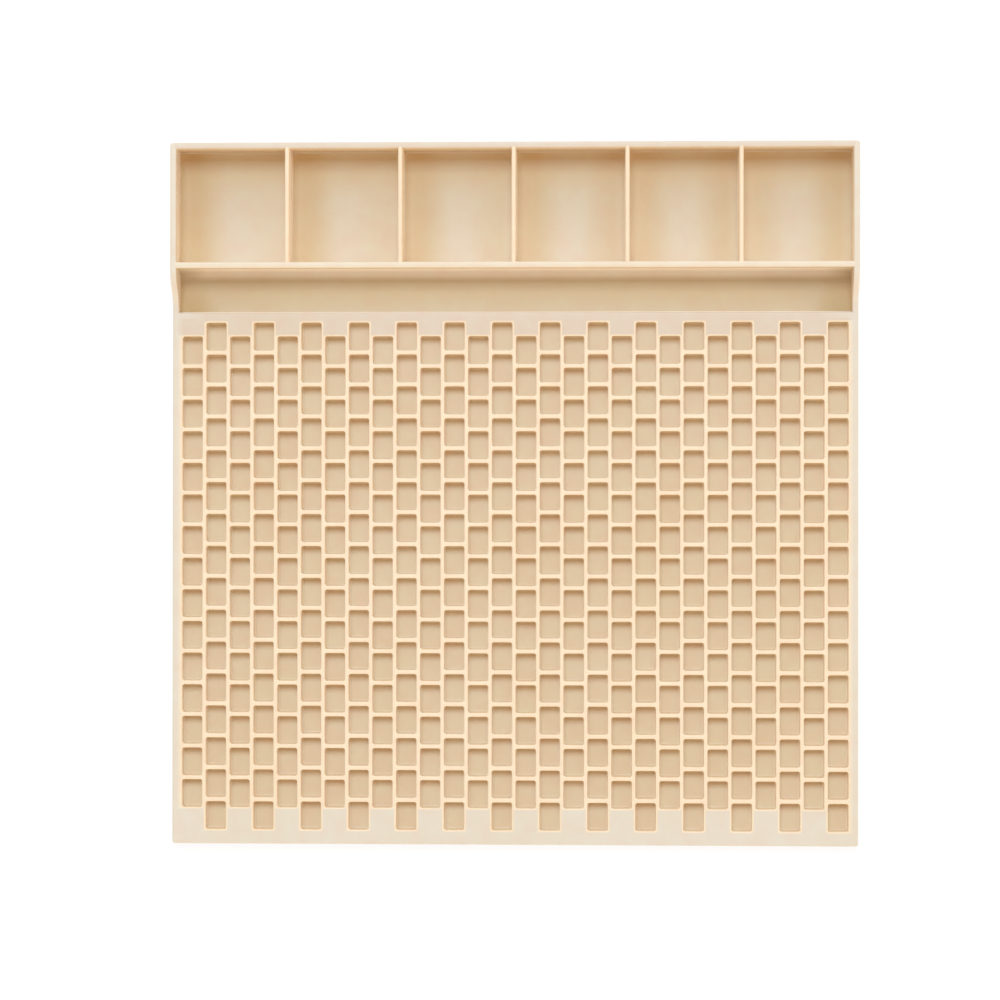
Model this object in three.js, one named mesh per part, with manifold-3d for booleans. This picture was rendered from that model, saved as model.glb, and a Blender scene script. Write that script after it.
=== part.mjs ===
// A bead stringing tray: six bins, a gutter and a board of bead pockets set like bricks.
// Millimetres, +X to the right, +Y to the back where the bins are, +Z up, origin under the middle.
import * as THREE from 'three';
import { mergeVertices } from 'three/addons/utils/BufferGeometryUtils.js';
import Module from 'manifold-3d';

// Bead pockets: one column holds beads lying one behind the other.
const POCKET_WIDTH = 6.84;
const POCKET_LENGTH = 9.37;
const POCKET_DEPTH = 4.3;
const COLUMN_COUNT = 28;
const COLUMN_WALL = 1.16;

// The second column and every other one after it are long: they run from end to end of the board.
// The columns between them are set forward by about half a pocket, and hold as many as fit.
const LONG_COLUMN_POCKETS = 16;
const LONG_COLUMN_BAR = 1.33;
const SHORT_COLUMN_BAR = 1.24;
const SHORT_COLUMN_SETBACK = 4.6;
const FRONT_BAR = 2.7;

// Bins along the back, and the gutter between them and the board.
const BIN_COUNT = 6;
const BIN_LENGTH = 37.8;
const BIN_DEPTH = 11.1;
const DIVIDER_THICKNESS = 1.4;
const GUTTER_LENGTH = 14.45;

// Floor and walls.
const PANEL_THICKNESS = 2;
const WALL_THICKNESS = 2;

// The S-curve of the side walls: level run before it, and how far its two bends reach.
const CURVE_SHOULDER = 1.2;
const CURVE_UPPER_REACH = 5.2;
const CURVE_LOWER_REACH = 7.6;

// Joints: walls stand in a seat in the panel, and wall ends slide down into slots.
const SEAT_DEPTH = 0.8;
const SLOT_DEPTH = 0.7;
const FIT_CLEARANCE = 0.1;
const STRIP_CLEARANCE = 0.05;

const CREAM = '#e6dac8';
const CURVE_SEGMENTS = 20;
const WELD_TOLERANCE = 1e-4;

// Places that several pieces share, worked out from the sizes above.
const columnPitch = POCKET_WIDTH + COLUMN_WALL;
const insideWidth = COLUMN_COUNT * columnPitch + COLUMN_WALL + 2 * STRIP_CLEARANCE;
const trayWidth = insideWidth + 2 * WALL_THICKNESS;
const longPitch = POCKET_LENGTH + LONG_COLUMN_BAR;
const shortPitch = POCKET_LENGTH + SHORT_COLUMN_BAR;
const stripLength = LONG_COLUMN_POCKETS * longPitch + FRONT_BAR;
const boardInside = stripLength + 2 * STRIP_CLEARANCE;
const trayLength = 4 * WALL_THICKNESS + BIN_LENGTH + GUTTER_LENGTH + boardInside;

const sideInner = insideWidth / 2;
const sideOuter = trayWidth / 2;
const back = trayLength / 2;
const front = -trayLength / 2;
const backWallFront = back - WALL_THICKNESS;
const binWallBack = backWallFront - BIN_LENGTH;
const binWallFront = binWallBack - WALL_THICKNESS;
const railBack = binWallFront - GUTTER_LENGTH;
const railFront = railBack - WALL_THICKNESS;
const frontRailBack = front + WALL_THICKNESS;
const stripBack = railFront - STRIP_CLEARANCE;

const floorTop = PANEL_THICKNESS;
const seat = PANEL_THICKNESS - SEAT_DEPTH;
const wallTop = floorTop + BIN_DEPTH;
const boardTop = floorTop + POCKET_DEPTH;
const slotReach = SLOT_DEPTH - FIT_CLEARANCE;

// Cuts run this far past the faces that they open.
const past = WALL_THICKNESS;

const wasm = await Module();
wasm.setup();

const tray = new THREE.Group();

function addPiece(name, geometry) {
  const material = new THREE.MeshStandardMaterial({ color: CREAM, roughness: 0.5, metalness: 0 });
  const mesh = new THREE.Mesh(geometry, material);
  mesh.name = name;
  tray.add(mesh);
}

// A block between two values on each axis.
function block(x, y, z) {
  const geometry = new THREE.BoxGeometry(x[1] - x[0], y[1] - y[0], z[1] - z[0]);
  return geometry.translate((x[0] + x[1]) / 2, (y[0] + y[1]) / 2, (z[0] + z[1]) / 2);
}

function toSolid(geometry) {
  const bare = geometry.clone();
  bare.deleteAttribute('normal');
  bare.deleteAttribute('uv');
  const merged = mergeVertices(bare, WELD_TOLERANCE);
  const vertProperties = new Float32Array(merged.attributes.position.array);
  const triVerts = new Uint32Array(merged.index.array);
  return new wasm.Manifold(new wasm.Mesh({ numProp: 3, vertProperties, triVerts }));
}

function cut(geometry, tools) {
  let solid = toSolid(geometry);
  for (const tool of tools) solid = solid.subtract(toSolid(tool));
  const mesh = solid.getMesh();
  const result = new THREE.BufferGeometry();
  result.setAttribute('position', new THREE.BufferAttribute(mesh.vertProperties, 3));
  result.setIndex(new THREE.BufferAttribute(mesh.triVerts, 1));
  result.computeVertexNormals();
  return result;
}

// A seat or slot: the span of the wall that goes in, with room on both sides.
function roomFor(low, high) {
  return [low - FIT_CLEARANCE, high + FIT_CLEARANCE];
}

// The floor, stepped down round its rim and grooved across for the two inner walls.
function basePanel() {
  const across = [-sideOuter - past, sideOuter + past];
  const along = [front - past, back + past];
  const step = [seat, floorTop + past];
  const inset = sideInner - FIT_CLEARANCE;
  const rims = [
    block([-sideOuter - past, -inset], along, step),
    block([inset, sideOuter + past], along, step),
    block(across, [backWallFront - FIT_CLEARANCE, back + past], step),
    block(across, [front - past, frontRailBack + FIT_CLEARANCE], step),
  ];
  const grooves = [
    block(across, roomFor(binWallFront, binWallBack), step),
    block(across, roomFor(railFront, railBack), step),
  ];
  const plate = block([-sideOuter, sideOuter], [front, back], [0, floorTop]);
  return cut(plate, [...rims, ...grooves]);
}

// Profile of a side wall seen from the right: high beside the bins, low beside the board.
function sideProfile() {
  const curveTop = binWallFront - CURVE_SHOULDER;
  const shape = new THREE.Shape();
  shape.moveTo(front, seat);
  shape.lineTo(back, seat);
  shape.lineTo(back, wallTop);
  shape.lineTo(curveTop, wallTop);
  shape.bezierCurveTo(
    curveTop - CURVE_UPPER_REACH, wallTop,
    railBack + CURVE_LOWER_REACH, boardTop,
    railBack, boardTop,
  );
  shape.lineTo(front, boardTop);
  shape.closePath();
  return shape;
}

// A side wall stands on the panel's rim, with a slot for the end of each wall that meets it.
function sideWall(side) {
  const options = { depth: WALL_THICKNESS, bevelEnabled: false, curveSegments: CURVE_SEGMENTS };
  const geometry = new THREE.ExtrudeGeometry(sideProfile(), options);
  const toRight = new THREE.Vector3(1, 0, 0);
  const toBack = new THREE.Vector3(0, 1, 0);
  const up = new THREE.Vector3(0, 0, 1);
  geometry.applyMatrix4(new THREE.Matrix4().makeBasis(toBack, up, toRight));
  geometry.translate(side > 0 ? sideInner : -sideOuter, 0, 0);
  const slotFloor = side * (sideInner + SLOT_DEPTH);
  const mouth = side * (sideInner - past);
  const x = [Math.min(slotFloor, mouth), Math.max(slotFloor, mouth)];
  const z = [seat - past, wallTop + past];
  const slots = [
    block(x, [backWallFront - FIT_CLEARANCE, back + past], z),
    block(x, roomFor(binWallFront, binWallBack), z),
    block(x, roomFor(railFront, railBack), z),
    block(x, [front - past, frontRailBack + FIT_CLEARANCE], z),
  ];
  return cut(geometry, slots);
}

// A wall across the tray, whose ends go into the slots of the side walls.
function crossWall(low, high, top) {
  const halfSpan = sideInner + slotReach;
  return block([-halfSpan, halfSpan], [low, high], [seat, top]);
}

const binWidth = (insideWidth - (BIN_COUNT - 1) * DIVIDER_THICKNESS) / BIN_COUNT;

function dividerSpan(index) {
  const left = -sideInner + index * binWidth + (index - 1) * DIVIDER_THICKNESS;
  return [left, left + DIVIDER_THICKNESS];
}

// The slots that hold the divider ends in one of the two tall cross walls.
function dividerSlots(y) {
  const slots = [];
  for (let index = 1; index < BIN_COUNT; index += 1) {
    slots.push(block(roomFor(...dividerSpan(index)), y, [floorTop, wallTop + past]));
  }
  return slots;
}

function backWall() {
  const wall = crossWall(backWallFront, back, wallTop);
  return cut(wall, dividerSlots([backWallFront - past, backWallFront + SLOT_DEPTH]));
}

function binFrontWall() {
  const wall = crossWall(binWallFront, binWallBack, wallTop);
  return cut(wall, dividerSlots([binWallBack - SLOT_DEPTH, binWallBack + past]));
}

// A divider stands on the floor, with its ends in the slots of the back wall and the bin front wall.
function divider(index) {
  const y = [binWallBack - slotReach, backWallFront + slotReach];
  return block(dividerSpan(index), y, [floorTop, wallTop]);
}

// Back edges of the pockets of a column, measured forward from the back of its strip.
function pocketStarts(isLong) {
  const pitch = isLong ? longPitch : shortPitch;
  const first = isLong ? LONG_COLUMN_BAR : LONG_COLUMN_BAR + SHORT_COLUMN_SETBACK;
  const lastStart = stripLength - FRONT_BAR - POCKET_LENGTH;
  const count = isLong ? LONG_COLUMN_POCKETS : Math.floor((lastStart - first) / pitch) + 1;
  return Array.from({ length: count }, (unused, index) => first + index * pitch);
}

function columnLeft(column) {
  return -sideInner + STRIP_CLEARANCE + COLUMN_WALL + column * columnPitch;
}

// A comb seen from above: a long wall on the right, with the cross bars reaching left.
function pocketStrip(column) {
  const barEnd = columnLeft(column) + STRIP_CLEARANCE;
  const wallLeft = columnLeft(column) + POCKET_WIDTH;
  const wallRight = wallLeft + COLUMN_WALL;
  const stripFront = stripBack - stripLength;
  const shape = new THREE.Shape();
  shape.moveTo(wallRight, stripFront);
  shape.lineTo(wallRight, stripBack);
  shape.lineTo(barEnd, stripBack);
  for (const start of pocketStarts(column % 2 === 1)) {
    const pocketBack = stripBack - start;
    shape.lineTo(barEnd, pocketBack);
    shape.lineTo(wallLeft, pocketBack);
    shape.lineTo(wallLeft, pocketBack - POCKET_LENGTH);
    shape.lineTo(barEnd, pocketBack - POCKET_LENGTH);
  }
  shape.lineTo(barEnd, stripFront);
  shape.closePath();
  const geometry = new THREE.ExtrudeGeometry(shape, { depth: POCKET_DEPTH, bevelEnabled: false });
  return geometry.translate(0, 0, floorTop);
}

// The plain strip on the left that closes the first column.
function edgeStrip() {
  const right = columnLeft(0);
  return block([right - COLUMN_WALL, right], [stripBack - stripLength, stripBack], [floorTop, boardTop]);
}

addPiece('base_panel', basePanel());
addPiece('back_wall', backWall());
addPiece('left_side_wall', sideWall(-1));
addPiece('right_side_wall', sideWall(1));
addPiece('bin_front_wall', binFrontWall());
for (let index = 1; index < BIN_COUNT; index += 1) addPiece(`divider_${index}`, divider(index));
addPiece('gutter_rail', crossWall(railFront, railBack, boardTop));
addPiece('front_rail', crossWall(front, frontRailBack, boardTop));
addPiece('pocket_edge_strip', edgeStrip());
for (let column = 0; column < COLUMN_COUNT; column += 1) {
  addPiece(`pocket_strip_${String(column + 1).padStart(2, '0')}`, pocketStrip(column));
}

export default tray;
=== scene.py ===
import math

import bmesh
import bpy
from mathutils import Matrix, Vector


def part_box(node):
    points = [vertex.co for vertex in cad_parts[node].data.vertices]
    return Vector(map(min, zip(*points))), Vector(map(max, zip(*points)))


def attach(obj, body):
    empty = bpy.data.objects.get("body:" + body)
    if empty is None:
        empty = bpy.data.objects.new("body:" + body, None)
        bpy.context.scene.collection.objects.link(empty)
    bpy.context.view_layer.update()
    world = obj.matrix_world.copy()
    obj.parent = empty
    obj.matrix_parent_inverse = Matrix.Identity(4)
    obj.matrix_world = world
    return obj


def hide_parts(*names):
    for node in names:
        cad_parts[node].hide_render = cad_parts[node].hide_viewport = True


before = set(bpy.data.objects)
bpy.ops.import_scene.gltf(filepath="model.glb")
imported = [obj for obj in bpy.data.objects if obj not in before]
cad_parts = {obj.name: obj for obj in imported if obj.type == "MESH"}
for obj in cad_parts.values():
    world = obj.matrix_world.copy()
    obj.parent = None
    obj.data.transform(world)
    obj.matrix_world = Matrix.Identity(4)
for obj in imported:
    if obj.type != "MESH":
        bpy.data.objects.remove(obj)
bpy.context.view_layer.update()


# Base panel
# One flat sheet of moulded cream ABS, the floor of every bin, of every pocket and of the gutter.
# Its outer corners are rounded and its rim is stepped down for the walls to stand on.

MM = 0.001
OUTER_CORNER_RADIUS = 0.8 * MM
LEAST_CORNER_RADIUS = 0.05 * MM
UNDERSIDE_ROUNDING = 0.5 * MM
RIM_CHAMFER = 0.08 * MM
RIM_INSET = 1.5 * MM
CORNER_STEPS = 4
ROUNDING_STEPS = 3
# Points nearer than the first are taken to touch, and points nearer than the second are welded into one.
TOUCHING = 0.001 * MM
WELD = 0.0001 * MM
panel_low, panel_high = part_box("base_panel")
wall_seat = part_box("back_wall")[0].z
floor_top = panel_high.z


def linear(code):
    """Turns an sRGB hex colour to the linear colour that a shader takes."""
    shares = [int(code[place:place + 2], 16) / 255 for place in (1, 3, 5)]
    lit = [s / 12.92 if s <= 0.04045 else ((s + 0.055) / 1.055) ** 2.4 for s in shares]
    return (*lit, 1.0)


def add_node(tree, kind, settings=(), links=()):
    """Adds one node: settings go to its sockets or its own properties, links come from other sockets."""
    node = tree.nodes.new(kind)
    for key, value in dict(settings).items():
        if isinstance(key, int) or key in node.inputs:
            node.inputs[key].default_value = value
        else:
            setattr(node, key, value)
    for socket, source in dict(links).items():
        tree.links.new(source, node.inputs[socket])
    return node


# Moulded satin ABS, one plastic for the whole tray. The spark-eroded mould leaves a very fine even grain, so
# light spreads into a soft sheen with no sharp reflection, and the pigment lies in faint clouds of warmer and
# rosier cream. Over the plastic's own cream, each mesh point's cream carries painted light and shade: plain
# on the thick rims, a painted glow on thin edges and wall faces, painted shade deepening the floors, and a
# painted golden shadow where a floor meets a wall.
WARM_TINT = "#fcf8ee"
ROSY_TINT = "#fff8f7"
CLOUD_SIZE = 34 * MM
MOTTLE_SIZE = 6.0 * MM
MOTTLE_PLAIN = 0.35
MOTTLE_ROSY = 0.7
# The real grain is about 0.1 mm, finer than the picture can show, so it is drawn at 0.7 mm.
GRAIN_SIZE = 0.7 * MM
GRAIN_HEIGHT = 0.012 * MM
GRAIN_STRENGTH = 0.35
GRAIN_LOW = 0.3
GRAIN_HIGH = 0.7
LEAST_ROUGHNESS = 0.36
MOST_ROUGHNESS = 0.46
ABS_IOR = 1.53
# A mix node that is set to colours takes its share and its two colours at the first three of these sockets,
# and gives their mix at the last.
MIX_SHARE, MIX_FIRST, MIX_SECOND, MIX_RESULT = 0, 6, 7, 2

satin_abs = bpy.data.materials.new("moulded satin ABS cream")
satin_abs.use_nodes = True
plastic = satin_abs.node_tree
plastic.nodes.clear()
spot = add_node(plastic, "ShaderNodeTexCoord").outputs["Object"]
# Each mesh point's cream, read here, is the plastic's shade with painted light and shade mixed in.
cream = add_node(plastic, "ShaderNodeAttribute", {"attribute_name": "cream"}).outputs["Color"]
cloud = add_node(plastic, "ShaderNodeTexNoise", {"Scale": 1 / CLOUD_SIZE, "Detail": 2.0}, {"Vector": spot})
mottle = add_node(plastic, "ShaderNodeTexNoise", {"Scale": 1 / MOTTLE_SIZE, "Detail": 3.0}, {"Vector": spot})
grain = add_node(plastic, "ShaderNodeTexNoise", {"Scale": 1 / GRAIN_SIZE, "Detail": 1.0}, {"Vector": spot})
cloudy = add_node(
    plastic, "ShaderNodeMix", {"data_type": "RGBA", "blend_type": "MULTIPLY", MIX_SECOND: linear(WARM_TINT)},
    {MIX_SHARE: cloud.outputs["Fac"], MIX_FIRST: cream})
rosiness = add_node(
    plastic, "ShaderNodeMapRange", {"From Min": MOTTLE_PLAIN, "From Max": MOTTLE_ROSY},
    {"Value": mottle.outputs["Fac"]})
colour = add_node(
    plastic, "ShaderNodeMix", {"data_type": "RGBA", "blend_type": "MULTIPLY", MIX_SECOND: linear(ROSY_TINT)},
    {MIX_SHARE: rosiness.outputs["Result"], MIX_FIRST: cloudy.outputs[MIX_RESULT]})
gloss = add_node(
    plastic, "ShaderNodeMapRange",
    {"From Min": GRAIN_LOW, "From Max": GRAIN_HIGH, "To Min": LEAST_ROUGHNESS, "To Max": MOST_ROUGHNESS},
    {"Value": grain.outputs["Fac"]})
bump = add_node(
    plastic, "ShaderNodeBump", {"Strength": GRAIN_STRENGTH, "Distance": GRAIN_HEIGHT},
    {"Height": grain.outputs["Fac"]})
surface = add_node(
    plastic, "ShaderNodeBsdfPrincipled", {"IOR": ABS_IOR},
    {"Base Color": colour.outputs[MIX_RESULT], "Roughness": gloss.outputs["Result"],
     "Normal": bump.outputs["Normal"]})
add_node(plastic, "ShaderNodeOutputMaterial", {}, {"Surface": surface.outputs["BSDF"]})


def quarter(steps):
    """The sine and cosine of each step of a quarter turn."""
    turns = [math.radians(90) * step / steps for step in range(steps + 1)]
    return [(math.sin(turn), math.cos(turn)) for turn in turns]


def inset_loop(low, high, inset, radius, height):
    """Points round a level rectangle with rounded corners, drawn a distance inside it, always as many."""
    radius = max(radius - inset, LEAST_CORNER_RADIUS)
    points = []
    for turn, (x, y, right, back) in enumerate([
            (high.x, high.y, 1, 1), (low.x, high.y, -1, 1), (low.x, low.y, -1, -1), (high.x, low.y, 1, -1)]):
        for step in range(CORNER_STEPS + 1):
            angle = math.radians(90) * (turn + step / CORNER_STEPS)
            points.append((
                x - right * (inset + radius) + radius * math.cos(angle),
                y - back * (inset + radius) + radius * math.sin(angle), height))
    return points


def loft(mesh, loops):
    """Joins a stack of closed loops of points with rings of faces, and gives back their corners."""
    rings = [[mesh.verts.new(point) for point in loop] for loop in loops]
    for lower, upper in zip(rings, rings[1:]):
        for place in range(len(lower)):
            after = (place + 1) % len(lower)
            mesh.faces.new((lower[place], lower[after], upper[after], upper[place]))
    return rings


SMOOTH_BELOW = math.radians(38)


def finish_piece(name, mesh, cream_at, *nodes):
    """Makes the mesh a piece of the tray: even normals, a cream with painted light and shade at each point,
    and its place.
    """
    bmesh.ops.remove_doubles(mesh, verts=mesh.verts, dist=WELD)
    bmesh.ops.recalc_face_normals(mesh, faces=mesh.faces)
    layer = mesh.verts.layers.float_color.new("cream")
    for vert in mesh.verts:
        vert[layer] = cream_at(vert.co)
    data = bpy.data.meshes.new(name)
    mesh.to_mesh(data)
    mesh.free()
    data.shade_smooth()
    data.set_sharp_from_angle(angle=SMOOTH_BELOW)
    data.materials.append(satin_abs)
    piece = bpy.data.objects.new(name, data)
    bpy.context.scene.collection.objects.link(piece)
    even = piece.modifiers.new("even_faces", "WEIGHTED_NORMAL")
    even.keep_sharp = True
    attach(piece, "root")
    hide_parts(*nodes)


panel_loops = [
    inset_loop(panel_low, panel_high, UNDERSIDE_ROUNDING * (1 - s), OUTER_CORNER_RADIUS,
               panel_low.z + UNDERSIDE_ROUNDING * (1 - c)) for s, c in quarter(ROUNDING_STEPS)]
panel_loops += [
    inset_loop(panel_low, panel_high, 0, OUTER_CORNER_RADIUS, wall_seat - RIM_CHAMFER),
    inset_loop(panel_low, panel_high, RIM_CHAMFER, OUTER_CORNER_RADIUS, wall_seat),
]
panel_mesh = bmesh.new()
panel_rings = loft(panel_mesh, panel_loops)
panel_mesh.faces.new(panel_rings[0])

# The raised floor is cut into a grid that is finer near the walls of the bins and the gutter, so that its
# painted shade can change there: a painted golden shadow beside a wall, and a little painted light again
# right at the wall's foot.
GRID_STEP = 2.0 * MM
GRID_STEP_COUNT = 8
DIVIDER_COUNT = 5
# Shades of the one plastic: the rims keep its plain cream, while the bins' floors, the pockets' floors and
# the gutter take darker copies of it as painted shade, the amber is a painted shadow beside walls, and the
# pale is painted light.
RIM = Vector(linear("#e3d9c8"))
FLOOR_PAINTED_SHADE = Vector(linear("#decbad"))
POCKET_PAINTED_SHADE = Vector(linear("#e3cfae"))
GUTTER_PAINTED_SHADE = Vector(linear("#d4c2a3"))
AMBER_PAINTED_SHADE = Vector(linear("#d2b484"))
PALE_PAINTED_LIGHT = Vector(linear("#efdfc6"))
AMBER_PLATEAU = 4.0 * MM
AMBER_REACH = 13.0 * MM
AMBER_AT_FOOT = 0.4
AMBER_AT_LEFT_FOOT = 0.65
# How much painted amber shadow each wall puts on the floor beside it. In a bin it changes with the bin's
# place on the tray: a bin further to the right has less from its left wall and more from its right one.
BIN_LEFT_AMBER = 0.85
BIN_LEFT_CHANGE = -0.3
BIN_RIGHT_AMBER = 0.45
BIN_RIGHT_CHANGE = 0.4
BIN_BACK_AMBER = 0.75
BIN_CORNER_AMBER = 0.6
GUTTER_LEFT_AMBER = 1.4
GUTTER_LEFT_CORNER_LOSS = 0.4
GUTTER_RIGHT_AMBER = 1.1
GUTTER_BACK_AMBER = 0.7
# How far painted light reaches back from the front of a bin, and how much painted light lies at the foot of
# its back wall and of its sides.
PALE_REACH = 22.0 * MM
BACK_FOOT_PALE = 1.4
BACK_FOOT_FADE = 1.2
SIDE_FOOT_PALE = 0.35
# The wall behind the gutter curves out into the floor in a scoop, and painted shadow darkens the gutter most
# along its foot.
SCOOP_RADIUS = 4.0 * MM
SCOOP_PAINTED_SHADOW = 0.1
rail_low, rail_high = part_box("gutter_rail")
bin_wall_low, bin_wall_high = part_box("bin_front_wall")
gutter_front = rail_high.y
gutter_back = bin_wall_low.y
bin_front = bin_wall_high.y
bin_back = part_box("back_wall")[0].y
side_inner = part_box("right_side_wall")[0].x
dividers = [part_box(f"divider_{number}") for number in range(1, DIVIDER_COUNT + 1)]
bin_sides = list(zip(
    [-side_inner] + [high.x for low, high in dividers], [low.x for low, high in dividers] + [side_inner]))


def near_wall(distance, at_foot=AMBER_AT_FOOT):
    """Painted shade from a wall: strongest a little way out from its foot, easing to nought further out."""
    share = min(max(1 - (distance - AMBER_PLATEAU) / AMBER_REACH, 0), 1)
    eased = share * share * (3 - 2 * share)
    return eased * min(at_foot + (1 - at_foot) * max(distance, 0) / AMBER_PLATEAU, 1)


def shaded(shade, painted_shade_share, painted_light_share):
    """A shade of cream taken towards painted amber shadow and painted pale light, as far as the floor's own
    shade would be.
    """
    return [s * (a / f) ** painted_shade_share * (p / f) ** painted_light_share for s, f, a, p in zip(shade, FLOOR_PAINTED_SHADE, AMBER_PAINTED_SHADE, PALE_PAINTED_LIGHT)]


def gutter_cream(point):
    """Painted amber shadow at the gutter's back and most at its two ends, and the most painted shadow along
    the scoop's foot.
    """
    back = near_wall(gutter_back - point.y)
    left = (GUTTER_LEFT_AMBER - GUTTER_LEFT_CORNER_LOSS * back) * near_wall(side_inner + point.x, 1)
    right = GUTTER_RIGHT_AMBER * near_wall(side_inner - point.x, 1)
    deep = SCOOP_PAINTED_SHADOW * min(max(2 - (gutter_back - point.y) / SCOOP_RADIUS, 0), 1)
    return shaded(GUTTER_PAINTED_SHADE * (1 - deep), max(GUTTER_BACK_AMBER * back, left, right), 0)


def bin_cream(point):
    """Painted amber shadow towards the back and sides of a bin, most in its back corners, and painted light
    towards its front.
    """
    left, right = next(
        (low, high) for low, high in bin_sides if point.x <= high + TOUCHING or high == side_inner)
    rightward = (left + right) / (2 * side_inner)
    beside = max(
        (BIN_LEFT_AMBER + BIN_LEFT_CHANGE * rightward) * near_wall(point.x - left, AMBER_AT_LEFT_FOOT),
        (BIN_RIGHT_AMBER + BIN_RIGHT_CHANGE * rightward) * near_wall(right - point.x))
    behind = BIN_BACK_AMBER * near_wall(bin_back - point.y)
    painted_shade_share = max(beside, behind) + BIN_CORNER_AMBER * min(beside, behind)
    towards_front = 1 - (point.y - bin_front) / PALE_REACH
    at_back_foot = BACK_FOOT_PALE - BACK_FOOT_FADE * (bin_back - point.y) / AMBER_PLATEAU
    at_side_foot = SIDE_FOOT_PALE - max(min(point.x - left, right - point.x), 0) / AMBER_PLATEAU
    return shaded(FLOOR_PAINTED_SHADE, painted_shade_share, max(towards_front, at_back_foot, 0) + max(at_side_foot, 0))


def panel_cream(point):
    """Plain on the rim and below, and its own painted shade under the pockets, in the gutter and in the bins.
    """
    if point.z < floor_top - TOUCHING:
        return RIM
    if point.y < gutter_front - TOUCHING:
        return POCKET_PAINTED_SHADE
    return gutter_cream(point) if point.y < bin_front else bin_cream(point)


def grid_lines(spans):
    """Where the grid's lines cross some spans: a few, evenly apart, from both ends of each."""
    steps = [GRID_STEP * count for count in range(GRID_STEP_COUNT + 1)]
    lines = [line for low, high in spans for step in steps for line in (low + step, high - step)
             if low <= line <= high]
    return sorted({round(line, 7) for line in lines})


across = [panel_low.x + RIM_INSET, *grid_lines(bin_sides), panel_high.x - RIM_INSET]
along = [
    panel_low.y + RIM_INSET, rail_low.y, *grid_lines([(bin_front, bin_back), (gutter_front, gutter_back)]),
    panel_high.y - RIM_INSET]
floor_points = [[panel_mesh.verts.new((x, y, floor_top)) for x in across] for y in along]
for near, far in zip(floor_points, floor_points[1:]):
    for place in range(len(across) - 1):
        panel_mesh.faces.new((near[place], near[place + 1], far[place + 1], far[place]))
border = (
    floor_points[0] + [row[-1] for row in floor_points[1:]] + floor_points[-1][-2::-1]
    + [row[0] for row in floor_points[-2:0:-1]])
feet = [panel_mesh.verts.new((v.co.x, v.co.y, wall_seat)) for v in border]
for place in range(len(border)):
    after = (place + 1) % len(border)
    panel_mesh.faces.new((border[place], border[after], feet[after], feet[place]))
seat_edges = [
    panel_mesh.edges.get((ring[place - 1], ring[place]))
    for ring in (panel_rings[-1], feet) for place in range(len(ring))]
bmesh.ops.triangle_fill(panel_mesh, edges=seat_edges, use_beauty=True)
finish_piece("base_panel_sheet", panel_mesh, panel_cream, "base_panel")


# Side walls
# Two upright strips of the same plastic, tall beside the bins, swept down in an S-curve beside the gutter
# and low beside the pockets. Every free edge is rounded; they stand on the panel's rim.

EDGE_RADIUS = 0.5 * MM
ROUND_PROFILE = 0.5
CURVE_STEPS = 28
CURVE_SHOULDER = 1.2 * MM
CURVE_UPPER_REACH = 5.2 * MM
CURVE_LOWER_REACH = 7.6 * MM
PALE_LINE_DEPTH = 3.0 * MM
# How much of a face's normal may point up in an upright face, and has to in a top face.
UPRIGHT_MOST = 0.01
TOP_LEAST = 0.2
# Painted light and shade on the walls: a painted glow on thin edges and on wall faces, a touch of it on the
# tall tops, a glow fading into painted floor shade at the feet, and painted shade on the inner face beside
# the gutter.
THIN_PAINTED_GLOW = Vector(linear("#f5e2c5"))
FACE_PAINTED_GLOW = Vector(linear("#fbeedb"))
SIDE_WALL_TOP = RIM.lerp(THIN_PAINTED_GLOW, 0.1)
FOOT = FLOOR_PAINTED_SHADE.lerp(FACE_PAINTED_GLOW, 0.9)
GUTTER_SIDE = FLOOR_PAINTED_SHADE.lerp(RIM, 0.5)
wall_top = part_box("back_wall")[1].z
board_top = rail_high.z


def side_wall_top():
    """The top of the wall seen from the side, as (y, z) points from the back to the front."""
    curve = [
        Vector((gutter_back - CURVE_SHOULDER, wall_top)),
        Vector((gutter_back - CURVE_SHOULDER - CURVE_UPPER_REACH, wall_top)),
        Vector((gutter_front + CURVE_LOWER_REACH, board_top)),
        Vector((gutter_front, board_top)),
    ]
    points = [(panel_high.y, wall_top), (bin_front, wall_top)]
    for step in range(CURVE_STEPS + 1):
        t = step / CURVE_STEPS
        points.append(tuple(
            curve[0] * (1 - t) ** 3 + curve[1] * 3 * t * (1 - t) ** 2
            + curve[2] * 3 * t ** 2 * (1 - t) + curve[3] * t ** 3))
    return points + [(panel_low.y, board_top)]


def is_level_edge(edge):
    """True where a top face of the wall meets one of its upright faces."""
    heights = sorted(face.normal.z for face in edge.link_faces)
    return abs(heights[0]) < UPRIGHT_MOST and heights[1] > TOP_LEAST


def is_end_edge(edge, x):
    """True where an edge stands at either end of the wall face that lies at x."""
    on_face = all(abs(v.co.x - x) < TOUCHING for v in edge.verts)
    at_back = all(abs(v.co.y - panel_high.y) < TOUCHING for v in edge.verts)
    at_front = all(abs(v.co.y - panel_low.y) < TOUCHING for v in edge.verts)
    return on_face and (at_back or at_front)


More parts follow.
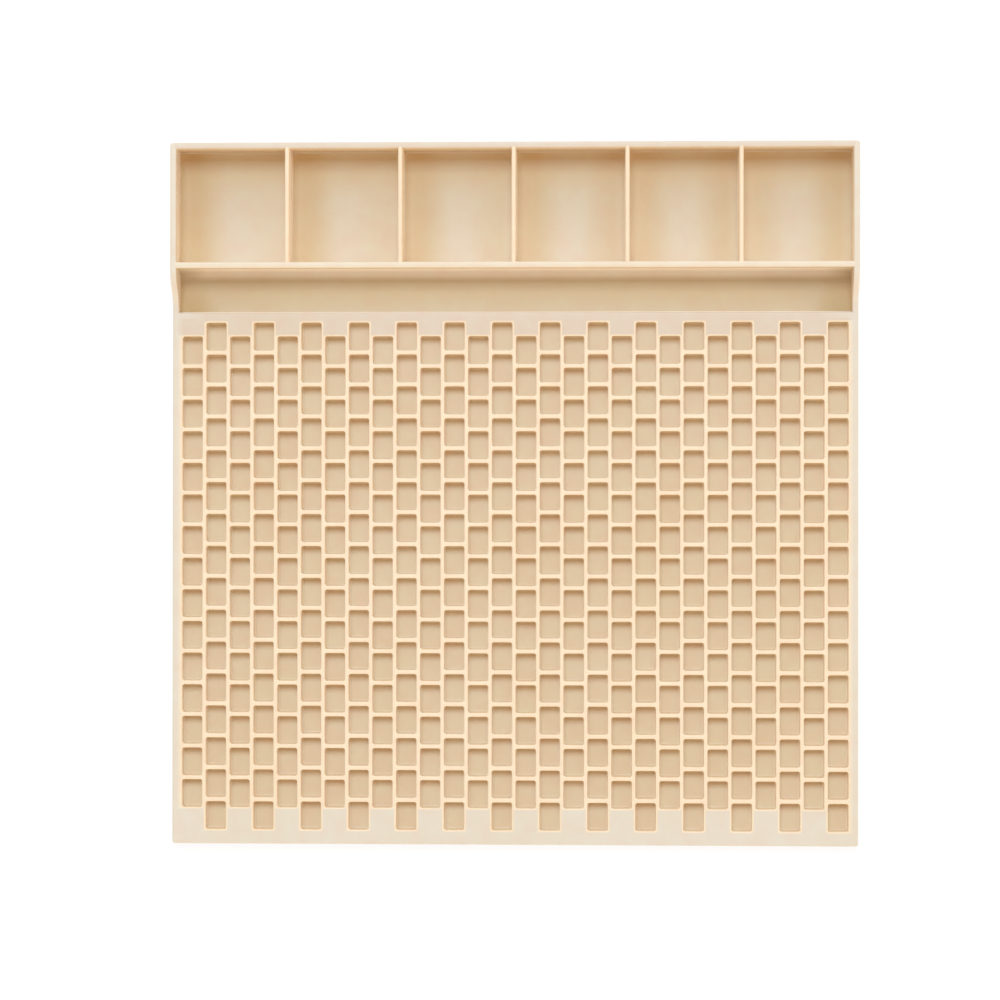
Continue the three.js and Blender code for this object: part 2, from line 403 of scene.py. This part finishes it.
for side, node in ((-1, "left_side_wall"), (1, "right_side_wall")):
    low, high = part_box(node)
    outer, inner = (low.x, high.x) if side < 0 else (high.x, low.x)
    wall_mesh = bmesh.new()
    wall_loops = []
    for y, z in side_wall_top():
        corners = (
            (outer, wall_seat), (outer, z), (inner, z), (inner, z - PALE_LINE_DEPTH), (inner, wall_seat))
        wall_loops.append([(x, y, height) for x, height in corners])
    rings = loft(wall_mesh, wall_loops)
    wall_mesh.faces.new(rings[0])
    wall_mesh.faces.new(rings[-1])
    bmesh.ops.recalc_face_normals(wall_mesh, faces=wall_mesh.faces)
    outer_corners = [edge for edge in wall_mesh.edges if is_end_edge(edge, outer)]
    bmesh.ops.bevel(
        wall_mesh, geom=outer_corners, offset=OUTER_CORNER_RADIUS, segments=CORNER_STEPS,
        profile=ROUND_PROFILE, affect="EDGES")
    wall_mesh.normal_update()
    free_edges = [edge for edge in wall_mesh.edges if is_level_edge(edge) or is_end_edge(edge, inner)]
    bmesh.ops.bevel(
        wall_mesh, geom=free_edges, offset=EDGE_RADIUS, segments=ROUNDING_STEPS,
        profile=ROUND_PROFILE, affect="EDGES")

    def side_cream(point):
        """On the inner face painted shade beside the gutter, a painted glow at the foot, brightest at the
        front of the bins; a faint painted glow on the tall top.
        """
        on_inner = abs(point.x - inner) < TOUCHING
        if on_inner and point.y < gutter_back:
            return GUTTER_SIDE
        if on_inner and point.z < floor_top:
            return FOOT
        on_pale_line = abs(point.z - wall_top + PALE_LINE_DEPTH) < TOUCHING
        if on_inner and on_pale_line and abs(point.y - bin_front) < TOUCHING:
            return FACE_PAINTED_GLOW
        return SIDE_WALL_TOP if point.z > board_top + EDGE_RADIUS else RIM

    finish_piece(node + "_moulding", wall_mesh, side_cream, node)


# Back wall, bin front wall, gutter rail and front rail
# Straight upright strips of the same plastic across the tray. Each runs a little way into the side walls,
# where its rounded edge meets theirs in a mitre. Small coves soften the feet in the bins and the gutter, and
# the bin front wall's gutter side is a wide scoop.

COVE_RADIUS = 0.45 * MM
SCOOP_STEPS = 14
SUNK = 0.3 * MM
PALE_RIM = 1.8 * MM
BIN_WALL_PALE_RIM = 3.0 * MM
END_FADE = 9.0 * MM
# Painted light and shade on the cross walls: a darker, warmer painted shade on the back wall's top and on the
# tops behind the pockets, painted amber shadow at the back wall's foot, a painted glow up the faces and on
# the bin front wall's top, and the gutter's painted shadow at the scoop's foot.
WARM_RIM_PAINTED_SHADE = Vector(linear("#dfcdb8"))
BACK_WALL_TOP = RIM.lerp(WARM_RIM_PAINTED_SHADE, 0.6)
BACK_WALL_FOOT = FOOT.lerp(AMBER_PAINTED_SHADE, 0.3)
BACK_WALL_GLOW = THIN_PAINTED_GLOW.lerp(AMBER_PAINTED_SHADE, 0.1)
BIN_WALL_TOP = RIM.lerp(THIN_PAINTED_GLOW, 0.5)
SCOOP_FOOT = Vector(gutter_cream(Vector((0, gutter_back - SCOOP_RADIUS, floor_top))))
# How fast the painted glow comes up a wall's face and up the scoop, and how much of the scoop's painted glow
# is left under the rim and at the two ends.
FACE_GLOW_POWER = 0.3
SCOOP_GLOW_POWER = 9
UNDER_RIM_GLOW = 0.25
SCOOP_END_GLOW = 0.3
back_low, back_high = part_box("back_wall")
front_low, front_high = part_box("front_rail")
reach = side_inner + EDGE_RADIUS
buried = floor_top - SUNK


def half_section(edge, outward, top, foot, cove=0, steps=ROUNDING_STEPS, rounded=True, pale_rim=PALE_RIM):
    """One side of a wall cut across, as (across, up) points from its foot, which may be coved into the floor,
    to its top, which may be rounded."""
    points = [(edge + outward * cove, foot)]
    if cove:
        points += [(edge + outward * cove * (1 - s), floor_top + cove * (1 - c)) for s, c in quarter(steps)]
    points.append((edge, top - pale_rim))
    if not rounded:
        return points + [(edge, top)]
    return points + [
        (edge - outward * EDGE_RADIUS * (1 - c), top - EDGE_RADIUS * (1 - s))
        for s, c in quarter(ROUNDING_STEPS)]


def straight_wall(section, places, along_x):
    """Draws the section out through some places into a straight closed bar."""
    mesh = bmesh.new()
    loops = [[(place, a, z) if along_x else (a, place, z) for a, z in section] for place in places]
    rings = loft(mesh, loops)
    mesh.faces.new(rings[0])
    mesh.faces.new(rings[-1])
    return mesh


def glowing_face(top, at_top, pale_rim=PALE_RIM, at_foot=FOOT, glow=FACE_PAINTED_GLOW):
    """Painted shade at a wall's foot, a painted glow up its face, and plain again on top."""
    def cream_at(point):
        below = top - point.z
        if below < pale_rim:
            return at_top.lerp(glow, max(below - EDGE_RADIUS, 0) / (pale_rim - EDGE_RADIUS))
        rise = (point.z - floor_top) / (top - pale_rim - floor_top)
        return at_foot.lerp(glow, min(max(rise, 0), 1) ** FACE_GLOW_POWER)
    return cream_at


def rail_cream(point):
    """Darker painted shade along the rail's top, a painted glow down its face, plain where its ends run into
    the side walls.
    """
    return RIM if abs(point.x) > side_inner else glowing_face(board_top, WARM_RIM_PAINTED_SHADE)(point)


def bin_wall_cream(point):
    """On the gutter side painted shade at the scoop's foot and ends, the brightest painted glow up its curve,
    less under the rim.
    """
    if point.y > gutter_back + TOUCHING or point.z > wall_top - EDGE_RADIUS - TOUCHING:
        return glowing_face(wall_top, BIN_WALL_TOP, BIN_WALL_PALE_RIM, SCOOP_FOOT)(point)
    height = point.z - floor_top
    palest = SCOOP_END_GLOW if abs(point.x) > side_inner else 1
    if height > SCOOP_RADIUS + TOUCHING:
        return SCOOP_FOOT.lerp(FACE_PAINTED_GLOW, UNDER_RIM_GLOW * palest)
    still_to_rise = 1 - max(height, 0) / SCOOP_RADIUS
    return SCOOP_FOOT.lerp(FACE_PAINTED_GLOW, palest - palest * still_to_rise ** SCOOP_GLOW_POWER)


cross_walls = [
    ("back_wall",
     half_section(back_low.y, -1, wall_top, buried, COVE_RADIUS),
     half_section(back_high.y, 1, wall_top, wall_seat),
     glowing_face(wall_top, BACK_WALL_TOP, at_foot=BACK_WALL_FOOT, glow=BACK_WALL_GLOW)),
    ("bin_front_wall",
     half_section(gutter_back, -1, wall_top, buried, SCOOP_RADIUS, SCOOP_STEPS, pale_rim=BIN_WALL_PALE_RIM),
     half_section(bin_front, 1, wall_top, buried, COVE_RADIUS),
     bin_wall_cream),
    ("gutter_rail",
     half_section(rail_low.y, -1, board_top, buried, rounded=False),
     half_section(rail_high.y, 1, board_top, buried, COVE_RADIUS),
     rail_cream),
    ("front_rail",
     half_section(front_low.y, -1, board_top, wall_seat),
     half_section(front_high.y, 1, board_top, buried, rounded=False),
     lambda point: RIM),
]
cross_wall_places = (-reach, END_FADE - side_inner, side_inner - END_FADE, reach)
for node, near, far, cream_at in cross_walls:
    wall_mesh = straight_wall(near + far[::-1], cross_wall_places, True)
    finish_piece(node + "_moulding", wall_mesh, cream_at, node)


# Bin dividers
# Five thin upright strips of the same plastic that part the bins. Their ends run into the back wall and the
# bin front wall, and their tops are rounded over on both sides.

DIVIDER_COVE = 0.2 * MM
divider_ends = (bin_front - EDGE_RADIUS, bin_back + EDGE_RADIUS)
for number, (low, high) in enumerate(dividers, start=1):
    node = f"divider_{number}"
    left_half = half_section(low.x, -1, wall_top, buried, DIVIDER_COVE)
    right_half = half_section(high.x, 1, wall_top, buried, DIVIDER_COVE)
    divider_mesh = straight_wall(left_half + right_half[::-1], divider_ends, False)
    finish_piece(node + "_moulding", divider_mesh, glowing_face(wall_top, THIN_PAINTED_GLOW), node)


# Pocket strips
# Twenty-eight strips of the same plastic, laid side by side on the panel, make the board, one for each column
# of pockets. Every second column is set back by about half a pocket. Each pocket is a crisp-rimmed rounded
# box, and the thin ribs between them carry a painted glow.

POCKET_WIDTH = 6.84 * MM
POCKET_LENGTH = 9.37 * MM
COLUMN_COUNT = 28
COLUMN_PITCH = 8.0 * MM
LONG_COLUMN_POCKETS = 16
LONG_COLUMN_START = 1.33 * MM
LONG_COLUMN_PITCH = 10.70 * MM
SHORT_COLUMN_POCKETS = 15
SHORT_COLUMN_START = 5.93 * MM
SHORT_COLUMN_PITCH = 10.61 * MM
POCKET_RIM = 0.25 * MM
POCKET_CORNER_RADIUS = 0.75 * MM
POCKET_COVE = 0.5 * MM
POCKET_DRAFT = 0.08 * MM
# How fast the painted glow comes up the faces of a pocket: at once, but slowly at its front.
RIB_GLOW_POWER = 0.2
POCKET_FRONT_GLOW_POWER = 3
pocket_levels = [
    (-POCKET_RIM * (1 - s), board_top - POCKET_RIM * (1 - c)) for s, c in quarter(ROUNDING_STEPS)]
pocket_levels += [
    (POCKET_DRAFT + POCKET_COVE * (1 - c), floor_top + POCKET_COVE * (1 - s))
    for s, c in quarter(ROUNDING_STEPS)]
pocket_levels += [(POCKET_DRAFT + POCKET_COVE, buried)]


def cell_border(low, high, loop, height):
    """Where the points of a pocket's loop fall on the straight border of its cell."""
    points = []
    for place, (x, y, _) in enumerate(loop):
        turn, step = divmod(place, CORNER_STEPS + 1)
        right, back = turn in (0, 3), turn in (0, 1)
        on_side = step * 2 < CORNER_STEPS if turn in (0, 2) else step * 2 > CORNER_STEPS
        at_corner = step * 2 == CORNER_STEPS
        if on_side or at_corner:
            x = high.x if right else low.x
        if not on_side or at_corner:
            y = high.y if back else low.y
        points.append((x, y, height))
    return points


def seen_from_above(vert):
    """A corner's place seen from above, the same for two corners that stand one over the other."""
    return (round(vert.co.x / WELD), round(vert.co.y / WELD))


for column in range(COLUMN_COUNT):
    centre = (column - (COLUMN_COUNT - 1) / 2) * COLUMN_PITCH
    is_long = column % 2 == 1
    count = LONG_COLUMN_POCKETS if is_long else SHORT_COLUMN_POCKETS
    start = rail_low.y - (LONG_COLUMN_START if is_long else SHORT_COLUMN_START)
    pitch = LONG_COLUMN_PITCH if is_long else SHORT_COLUMN_PITCH
    half_bar = (pitch - POCKET_LENGTH) / 2
    left = -reach if column == 0 else centre - COLUMN_PITCH / 2
    right = reach if column == COLUMN_COUNT - 1 else centre + COLUMN_PITCH / 2
    strip_mesh = bmesh.new()
    for row in range(count):
        pocket_back = start - row * pitch
        pocket_low = Vector((centre - POCKET_WIDTH / 2, pocket_back - POCKET_LENGTH))
        pocket_high = Vector((centre + POCKET_WIDTH / 2, pocket_back))
        cell_low = Vector((left, pocket_low.y - half_bar))
        cell_high = Vector((right, pocket_high.y + half_bar))
        loops = [
            inset_loop(pocket_low, pocket_high, inset, POCKET_CORNER_RADIUS, height)
            for inset, height in pocket_levels]
        top_border = cell_border(cell_low, cell_high, loops[0], board_top)
        foot_border = [(x, y, buried) for x, y, _ in top_border]
        loft(strip_mesh, [top_border, *loops, foot_border])
    # The plain ends of the strip, as wide as the cells beside them and with the same points.
    end_places = sorted({x for x, y, _ in top_border if y == cell_low.y})
    for beside, end in ((start + half_bar, rail_low.y), (cell_low.y, front_high.y)):
        for height in (board_top, buried):
            for x, after in zip(end_places, end_places[1:]):
                strip_mesh.faces.new([
                    strip_mesh.verts.new((px, py, height))
                    for px, py in ((x, beside), (after, beside), (after, end), (x, end))])
    bmesh.ops.remove_doubles(strip_mesh, verts=strip_mesh.verts, dist=WELD)
    feet = {seen_from_above(v): v for v in strip_mesh.verts if v.co.z < floor_top - SUNK / 2}
    open_edges = [
        edge for edge in strip_mesh.edges
        if len(edge.link_faces) == 1 and edge.verts[0].co.z > board_top - TOUCHING]
    for edge in open_edges:
        first, second = edge.verts
        strip_mesh.faces.new((first, second, feet[seen_from_above(second)], feet[seen_from_above(first)]))
    back_of_pockets = start + half_bar - TOUCHING
    front_of_pockets = cell_low.y + TOUCHING

    def rib_cream(point):
        """The ribs carry a painted glow from their tops down, least at the front of a pocket; the margins
        stay plain, but darker painted shade lies behind the pockets.
        """
        if point.y < front_of_pockets or abs(point.x) > side_inner - TOUCHING:
            return RIM
        if point.y > back_of_pockets:
            return WARM_RIM_PAINTED_SHADE
        rise = min(max((point.z - floor_top) / POCKET_COVE, 0), 1)
        from_back = (start - point.y) % pitch
        from_end = min(from_back, POCKET_LENGTH - from_back)
        if point.z < board_top - POCKET_RIM and POCKET_WIDTH / 2 - abs(point.x - centre) < from_end:
            return POCKET_PAINTED_SHADE.lerp(FACE_PAINTED_GLOW, rise ** RIB_GLOW_POWER)
        at_front = from_back > POCKET_LENGTH / 2
        return POCKET_PAINTED_SHADE.lerp(THIN_PAINTED_GLOW, rise ** (POCKET_FRONT_GLOW_POWER if at_front else RIB_GLOW_POWER))

    node = f"pocket_strip_{column + 1:02d}"
    stands_for = [node, "pocket_edge_strip"] if column == 0 else [node]
    finish_piece(node + "_moulding", strip_mesh, rib_cream, *stands_for)


# Floor, light and camera
# A plain white paper sweep under one large soft lamp above and behind the tray, with four small low ones
# round it in a warm room, and a camera about a metre straight above, as the photograph was taken.

FLOOR_SIZE = 6.0
FLOOR_GAP = 0.05 * MM
floor_mesh = bmesh.new()
bmesh.ops.create_grid(floor_mesh, x_segments=2, y_segments=2, size=FLOOR_SIZE / 2)
floor_data = bpy.data.meshes.new("studio_floor")
floor_mesh.to_mesh(floor_data)
floor_mesh.free()
floor = bpy.data.objects.new("studio_floor", floor_data)
floor.location.z = panel_low.z - FLOOR_GAP
bpy.context.scene.collection.objects.link(floor)

# Matt white paper, which spreads light evenly. Seen directly it glows up to white and still takes a shadow.
PAPER = "#eeeeee"
SHOWN_PAPER = "#696969"
PAPER_GLOW = 0.87
WHITE = linear("#ffffff")
white_paper = bpy.data.materials.new("white paper sweep")
white_paper.use_nodes = True
paper = white_paper.node_tree
paper.nodes.clear()
path = add_node(paper, "ShaderNodeLightPath")
seen_or_mirrored = add_node(
    paper, "ShaderNodeMath", {"operation": "MAXIMUM"},
    {0: path.outputs["Is Camera Ray"], 1: path.outputs["Is Glossy Ray"]})
seen_directly = add_node(
    paper, "ShaderNodeMath", {"operation": "MAXIMUM"},
    {0: seen_or_mirrored.outputs[0], 1: path.outputs["Is Transmission Ray"]})
lit_paper = add_node(paper, "ShaderNodeBsdfDiffuse", {"Color": linear(PAPER)})
shadowed = add_node(paper, "ShaderNodeBsdfDiffuse", {"Color": linear(SHOWN_PAPER)})
paper_glow = add_node(paper, "ShaderNodeEmission", {"Color": WHITE, "Strength": PAPER_GLOW})
shown = add_node(paper, "ShaderNodeAddShader", {}, {0: shadowed.outputs[0], 1: paper_glow.outputs[0]})
paper_mix = add_node(
    paper, "ShaderNodeMixShader", {},
    {0: seen_directly.outputs[0], 1: lit_paper.outputs[0], 2: shown.outputs[0]})
add_node(paper, "ShaderNodeOutputMaterial", {}, {"Surface": paper_mix.outputs[0]})
floor_data.materials.append(white_paper)

# The colours of light are linear: a warm room, a cool main lamp that evens it out, and nearly white fills.
ROOM_COLOUR = (1.0, 0.85, 0.697, 1.0)
ROOM_LEVEL = 0.63
world = bpy.data.worlds.new("white studio")
bpy.context.scene.world = world
world.use_nodes = True
sky = world.node_tree
sky.nodes.clear()
room = add_node(sky, "ShaderNodeBackground", {"Color": ROOM_COLOUR, "Strength": ROOM_LEVEL})
backdrop = add_node(sky, "ShaderNodeBackground", {"Color": WHITE, "Strength": 1.0})
sky_path = add_node(sky, "ShaderNodeLightPath")
sky_mix = add_node(
    sky, "ShaderNodeMixShader", {},
    {0: sky_path.outputs["Is Camera Ray"], 1: room.outputs[0], 2: backdrop.outputs[0]})
add_node(sky, "ShaderNodeOutputWorld", {}, {"Surface": sky_mix.outputs[0]})


def soft_lamp(name, azimuth, elevation, distance, size, level, colour):
    """A square soft lamp aimed at the tray; azimuth 0 is straight behind it and 90 to its right."""
    turn, rise = math.radians(azimuth), math.radians(elevation)
    aim = Vector((math.sin(turn) * math.cos(rise), math.cos(turn) * math.cos(rise), math.sin(rise)))
    lamp = bpy.data.lights.new(name, "AREA")
    lamp.shape = "SQUARE"
    lamp.size = size
    lamp.color = colour
    lamp.energy = level * math.pi * size ** 2
    holder = bpy.data.objects.new(name, lamp)
    holder.location = aim * distance
    holder.rotation_euler = aim.to_track_quat("Z", "Y").to_euler()
    holder.visible_camera = False
    bpy.context.scene.collection.objects.link(holder)
    return holder


KEY_COLOUR = (0.58, 0.79, 1.01)
FILL_COLOUR = (1.0, 0.97, 0.92)
FILL_DISTANCE = 3.0
FILL_SIZE = 0.6
soft_lamp("key_lamp", azimuth=-4, elevation=64.5, distance=6.0, size=2.33, level=12.5, colour=KEY_COLOUR)
for name, azimuth, elevation, level in (
        ("left", -90, 10, 14.0), ("right", 90, 15, 21.0), ("front", 180, 6, 32.0), ("back", 0, 12, 12.0)):
    fill = soft_lamp(name + "_fill_lamp", azimuth, elevation, FILL_DISTANCE, FILL_SIZE, level, FILL_COLOUR)
    fill.visible_glossy = False

CAMERA_PLACE = Vector((33.9, -6.76, 1008.2)) * MM
CAMERA_TILT = math.radians(-0.278)
CAMERA_LEAN = math.radians(-2.205)
CAMERA_ROLL = math.radians(-0.058)
CAMERA_LENS = 108.0
CAMERA_SENSOR = 36.0
camera_data = bpy.data.cameras.new("overhead_camera")
camera_data.lens = CAMERA_LENS
camera_data.sensor_width = CAMERA_SENSOR
camera = bpy.data.objects.new("overhead_camera", camera_data)
bpy.context.scene.collection.objects.link(camera)
tilted = Matrix.Rotation(CAMERA_TILT, 3, "X") @ Matrix.Rotation(CAMERA_LEAN, 3, "Y")
turned = (Matrix.Rotation(CAMERA_ROLL, 3, "Z") @ tilted).transposed()
camera.matrix_world = Matrix.Translation(CAMERA_PLACE) @ turned.to_4x4()
bpy.context.scene.camera = camera
bpy.context.scene.view_settings.view_transform = "Standard"
